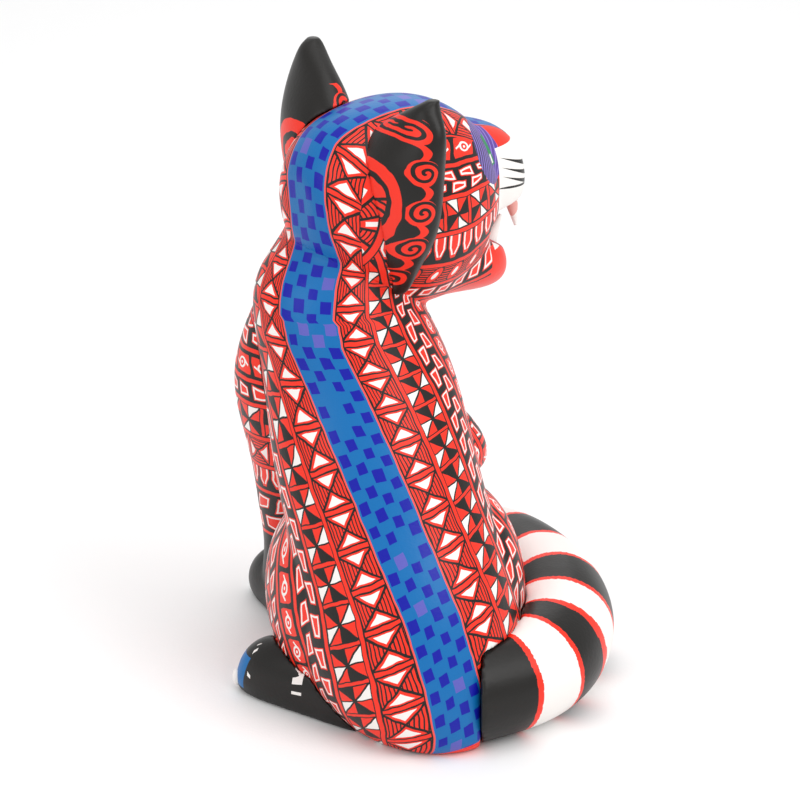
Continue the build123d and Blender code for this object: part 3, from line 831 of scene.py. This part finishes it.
# %% Ears
for side_name, chain in (("left", FAR_CHAIN), ("right", NEAR_CHAIN)):
    p = Paint(side_name + "_ear_paint")
    drawing = ear_drawing(p, hand(p, p.along(AHEAD, HEAD_CENTRE) + EAR_MIDDLE_BEHIND, 150.0, 1.0, 0),
                          hand(p, p.along(UP, HEAD_CENTRE), 150.0, 1.0, 1), *chain)
    ear = finished_piece(side_name + "_ear_skin",
                         carved_skin(side_name + "_ear", (side_name + "_ear",), voxel=0.7, rounds=5),
                         p.finish(drawing), side_name + "_ear", "ear_paint", side_name + "_ear")

# %% [markdown]
# ## Tail
# A thick tail lies curled on the ground. Its rings are black and white with thin red lines.

# %% Tail
TAIL_STEPS = np.array(((-15, 50), (-35, 44), (-53, 31), (-65, 10), (-70, -20), (-67, -52),
                       (-58, -78), (-47, -93)), float)
# Where each ring starts after the black root, in millimetres down the tail.
TAIL_RINGS = ((14, WHITE), (30, BLACK), (44, WHITE), (62, BLACK), (82, WHITE), (104, BLACK),
              (128, WHITE), (150, BLACK))
TAIL_LINE_HALF = 1.2


def paint_tail():
    p = Paint("ringed_tail_paint")
    down = hand(p, p.measure("along"), 60.0, 2.0, 0)
    paint = BLACK
    for start, ring in TAIL_RINGS:
        paint = p.over(paint, ring, down > float(start))
        paint = p.over(paint, RED, abs(down - float(start)) < TAIL_LINE_HALF)
    return p.finish(paint)


tail = finished_piece("painted_tail", carved_skin("tail", ("tail",), voxel=1.0, rounds=8),
                      paint_tail(), "tail", "tail_paint", "tail")
tail_points = points_of(tail.data)
fine = np.linspace(0, len(TAIL_STEPS) - 1, 300)
tail_line = np.stack([np.interp(fine, range(len(TAIL_STEPS)), TAIL_STEPS[:, k]) for k in (0, 1)], 1)
for _ in range(60):
    tail_line[1:-1] = (tail_line[:-2] + tail_line[2:] + 2 * tail_line[1:-1]) / 4
tail_length = np.insert(np.cumsum(np.linalg.norm(np.diff(tail_line, axis=0), axis=1)), 0, 0)
nearest = ((tail_points[:, None, :2] - tail_line[None]) ** 2).sum(2).argmin(1)
store(tail.data, "along", tail_length[nearest])

# %% [markdown]
# ## Feet and claws
# The feet and paws are plain black, with groups of three short white strokes and a blue patch over
# the toes. The claws are raised white beads. One bead repeats on every toe, so a Geometry Nodes
# tree sets it on points, and the result is turned into a plain mesh.

# %% Feet
FEET = {  # heel x, heel y, splay in degrees
    "left_foot_skin": (20, 32, 33), "right_foot_skin": (-26, 10, -8)}
STROKE_ROW, STROKE_GROUP, BLUE_FROM = 13.0, 11.0, 60.0


def paint_foot(name, heel, splay):
    p = Paint(name + "_paint")
    turn = math.radians(splay)
    forward = p.along((math.sin(turn), -math.cos(turn), 0), (*heel, 0))
    sideways = p.along((math.cos(turn), math.sin(turn), 0), (*heel, 0))
    rise = p.along((0, 0, 1))
    group = (forward / STROKE_ROW).floor()
    over_top = sideways + rise * 0.5 + group * 5.0
    in_group = abs(over_top % STROKE_GROUP - STROKE_GROUP / 2)
    stroke = (over_top % 1.7 < 0.6) & (in_group < 2.6) & (abs(forward % STROKE_ROW - STROKE_ROW / 2) < 2.4)
    paint = p.over(BLACK, WHITE, stroke & (rise > 9.0) & (forward > 14.0) & (forward < 58.0))
    toes = hand(p, forward - abs(sideways) * 0.15 + rise * 0.22, 90.0, 1.0, 0)
    paint = p.over(paint, BLUE, (toes > BLUE_FROM) & (rise < 17.0) & (rise > 3.0))
    return p.finish(paint)


for name, (heel_x, heel_y, splay) in FEET.items():
    side_name = name.split("_")[0]
    foot_shape = carved_skin(side_name + "_foot", (side_name + "_hind_foot",), voxel=0.9, rounds=6)
    finished_piece(name, foot_shape, paint_foot(name, (heel_x, heel_y), splay), "figure",
                   "paw_paint", side_name + "_hind_foot")

p = Paint("claw_paint")
claw_paint = p.finish(WHITE, roughness=0.3)


# %% Claw tree
def claw_tree():
    """Points in, one bead on each point out, sized by named inputs."""
    tree = bpy.data.node_groups.new("claw_beads", "GeometryNodeTree")
    face = tree.interface
    face.new_socket("Toes", in_out="INPUT", socket_type="NodeSocketGeometry")
    width = face.new_socket("Bead radius", in_out="INPUT", socket_type="NodeSocketFloat")
    tall = face.new_socket("Bead stretch", in_out="INPUT", socket_type="NodeSocketVector")
    face.new_socket("Claws", in_out="OUTPUT", socket_type="NodeSocketGeometry")
    start, end = tree.nodes.new("NodeGroupInput"), tree.nodes.new("NodeGroupOutput")
    bead = tree.nodes.new("GeometryNodeMeshUVSphere")
    bead.inputs["Segments"].default_value, bead.inputs["Rings"].default_value = 20, 12
    shape = tree.nodes.new("GeometryNodeTransform")
    on_toes = tree.nodes.new("GeometryNodeInstanceOnPoints")
    real = tree.nodes.new("GeometryNodeRealizeInstances")
    dress_it = tree.nodes.new("GeometryNodeSetMaterial")
    dress_it.inputs["Material"].default_value = claw_paint
    smooth = tree.nodes.new("GeometryNodeSetShadeSmooth")
    link = tree.links.new
    link(start.outputs["Bead radius"], bead.inputs["Radius"])
    link(bead.outputs["Mesh"], shape.inputs["Geometry"])
    link(start.outputs["Bead stretch"], shape.inputs["Scale"])
    link(start.outputs["Toes"], on_toes.inputs["Points"])
    link(shape.outputs[0], on_toes.inputs["Instance"])
    link(on_toes.outputs[0], smooth.inputs[0])
    link(smooth.outputs[0], real.inputs[0])
    link(real.outputs[0], dress_it.inputs["Geometry"])
    link(dress_it.outputs[0], end.inputs[0])
    return tree, width.identifier, tall.identifier


CLAW_TREE, CLAW_RADIUS, CLAW_STRETCH = claw_tree()
TOES_ACROSS, TOE_RISE = (-8.5, -3.0, 3.0, 8.5), 5.5
BEAD_RADIUS, BEAD_STRETCH = 1.9, (1.0, 1.0, 1.9)


def claws(name, toe_points):
    """Beads at some points, made a plain mesh that rides with the figure."""
    mesh = bpy.data.meshes.new(name)
    mesh.from_pydata([tuple(c * MM for c in point) for point in toe_points], [], [])
    made = bpy.data.objects.new(name, mesh)
    scene.collection.objects.link(made)
    beads = made.modifiers.new("beads", "NODES")
    beads.node_group = CLAW_TREE
    beads[CLAW_RADIUS] = BEAD_RADIUS * MM
    beads[CLAW_STRETCH] = BEAD_STRETCH
    plain = bpy.data.meshes.new_from_object(
        made.evaluated_get(bpy.context.evaluated_depsgraph_get()))
    made.modifiers.clear()
    made.data = plain
    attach(made, "figure")
    print(name, len(plain.polygons), "faces")


def toe_ends(skin_name, heel, splay, across):
    """Points on the front of a foot or paw, found on its own mesh."""
    points = points_of(bpy.data.objects[skin_name].data)
    turn = math.radians(splay)
    forward = np.array((math.sin(turn), -math.cos(turn), 0.0))
    sideways = np.array((math.cos(turn), math.sin(turn), 0.0))
    off = points - np.array((*heel, 0.0))
    ends = []
    for place in across:
        near = (np.abs(off @ sideways - place) < 1.0) & (np.abs(points[:, 2] - TOE_RISE) < 1.0)
        if near.any():
            reach = (off @ forward)[near].max() - 0.5
            ends.append(np.array((*heel, TOE_RISE)) + forward * reach + sideways * place)
    return ends


for name, (heel_x, heel_y, splay) in FEET.items():
    claws(name.replace("skin", "claws"), toe_ends(name, (heel_x, heel_y), splay, TOES_ACROSS))
for side_name, paw_x in (("left", 20), ("right", -20)):
    claws(side_name + "_paw_claws", toe_ends("painted_body", (paw_x, -80), 0, TOES_ACROSS))

# %% [markdown]
# ## Teeth, tongue and bare wood
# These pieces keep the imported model's own shapes and take a finish.


# %% Small finishes
def dress(cad_name, material):
    """Gives a CAD node its finish."""
    nodes[cad_name].data.materials.clear()
    nodes[cad_name].data.materials.append(material)


p = Paint("tooth_paint")
tooth_paint = p.finish(p.over(WHITE, FLESH, p.noise(120.0) > 0.56))
p = Paint("tongue_paint")
tongue_paint = p.finish(p.over(colour("D9606A"), DARK_RED, p.noise(90.0) > 0.6), roughness=0.3)
p = Paint("bare_copal")
grain_place = p.node("ShaderNodeMapping", {}, {"Vector": p.place(), "Scale": (1.0, 1.0, 0.12)})
grain = p.noise(420.0, 4.0, where=grain_place)
bare_wood = p.finish(p.over(colour("D8B98C"), colour("A97C4B"), grain), roughness=0.65, sheen=0.0)
for name in nodes:
    if "fang" in name:
        dress(name, tooth_paint)
    elif name == "tongue":
        dress(name, tongue_paint)
    elif "dowel" in name or "peg" in name:
        dress(name, bare_wood)
